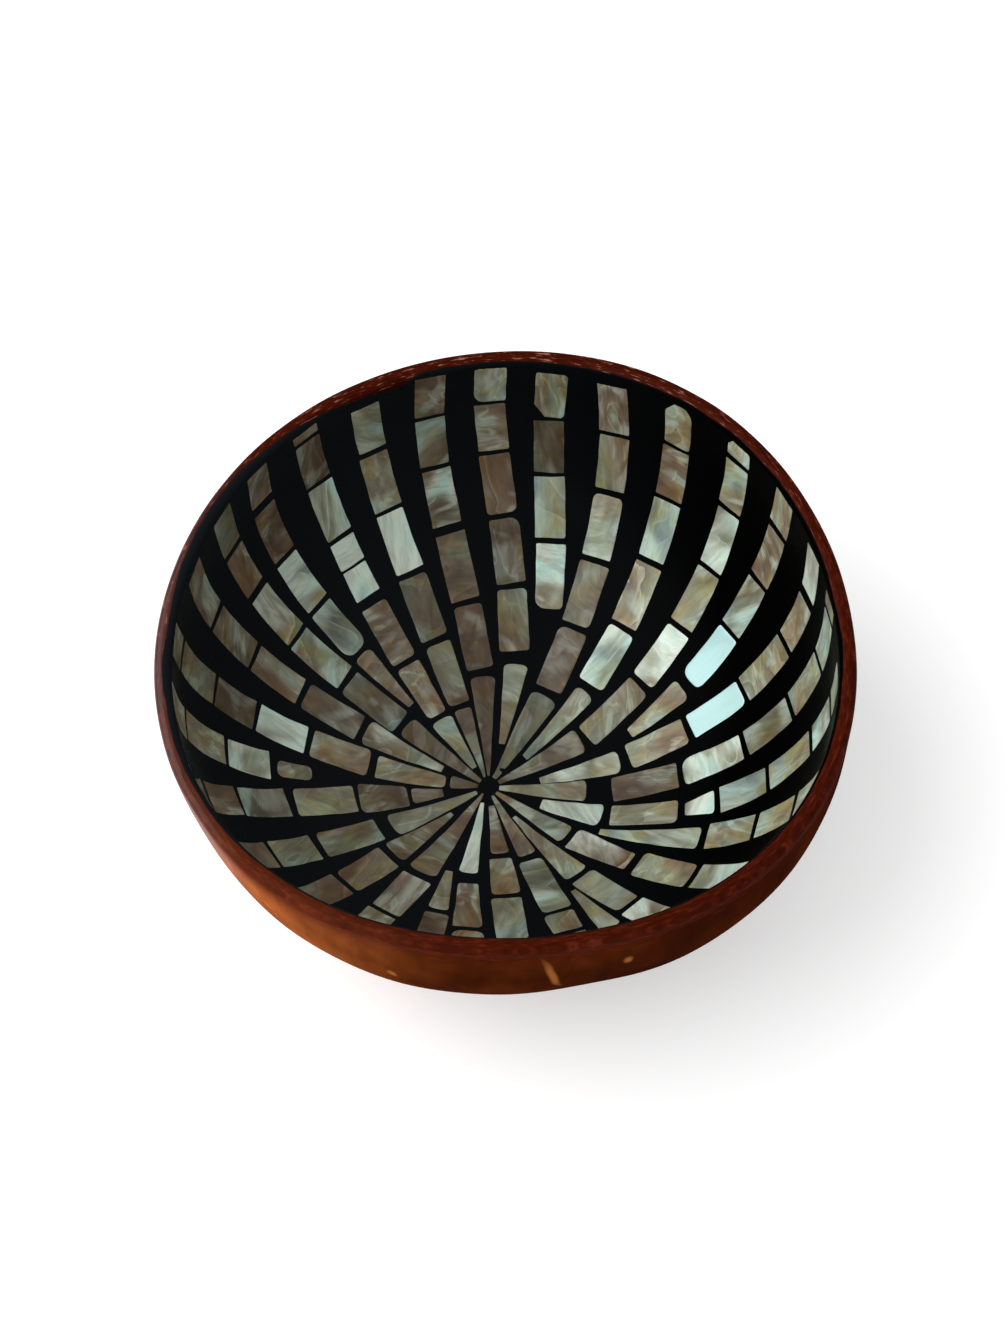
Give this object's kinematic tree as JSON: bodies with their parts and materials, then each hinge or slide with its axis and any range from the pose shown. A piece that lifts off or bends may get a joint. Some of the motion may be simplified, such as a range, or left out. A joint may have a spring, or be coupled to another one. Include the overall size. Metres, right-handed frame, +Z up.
{
  "type": "coconut shell bowl",
  "caption": "Bowl made of half a coconut shell, lined with black lacquer in which rows of mother-of-pearl tiles are inlaid from the rim to the centre.",
  "frame": {"origin": "centre of the flat foot, on the surface that the bowl stands on", "axes": "+Z up, along the bowl's own axis of turning, out of its mouth; +Y away from the viewer of the picture, +X to the right"},
  "size_m": [0.135, 0.135, 0.06],
  "materials": {
    "coconut_shell": "sanded and varnished, glossy",
    "black_lacquer": "polished, glossy",
    "mother_of_pearl": "polished, pearly"
  },
  "bodies": {
    "root": {"shell": "coconut_shell", "lacquer_lining": "black_lacquer", "pearl_row_01": "mother_of_pearl", "pearl_row_02": "mother_of_pearl", "pearl_row_03": "mother_of_pearl", "pearl_row_04": "mother_of_pearl", "pearl_row_05": "mother_of_pearl", "pearl_row_06": "mother_of_pearl", "pearl_row_07": "mother_of_pearl", "pearl_row_08": "mother_of_pearl", "pearl_row_09": "mother_of_pearl", "pearl_row_10": "mother_of_pearl", "pearl_row_11": "mother_of_pearl", "pearl_row_12": "mother_of_pearl", "pearl_row_13": "mother_of_pearl", "pearl_row_14": "mother_of_pearl", "pearl_row_15": "mother_of_pearl", "pearl_row_16": "mother_of_pearl", "pearl_row_17": "mother_of_pearl", "pearl_row_18": "mother_of_pearl", "pearl_row_19": "mother_of_pearl", "pearl_row_20": "mother_of_pearl", "pearl_row_21": "mother_of_pearl", "pearl_row_22": "mother_of_pearl", "pearl_row_23": "mother_of_pearl", "pearl_row_24": "mother_of_pearl", "pearl_row_25": "mother_of_pearl", "pearl_row_26": "mother_of_pearl", "pearl_row_27": "mother_of_pearl", "pearl_row_28": "mother_of_pearl", "pearl_row_29": "mother_of_pearl"}
  },
  "joints": []
}
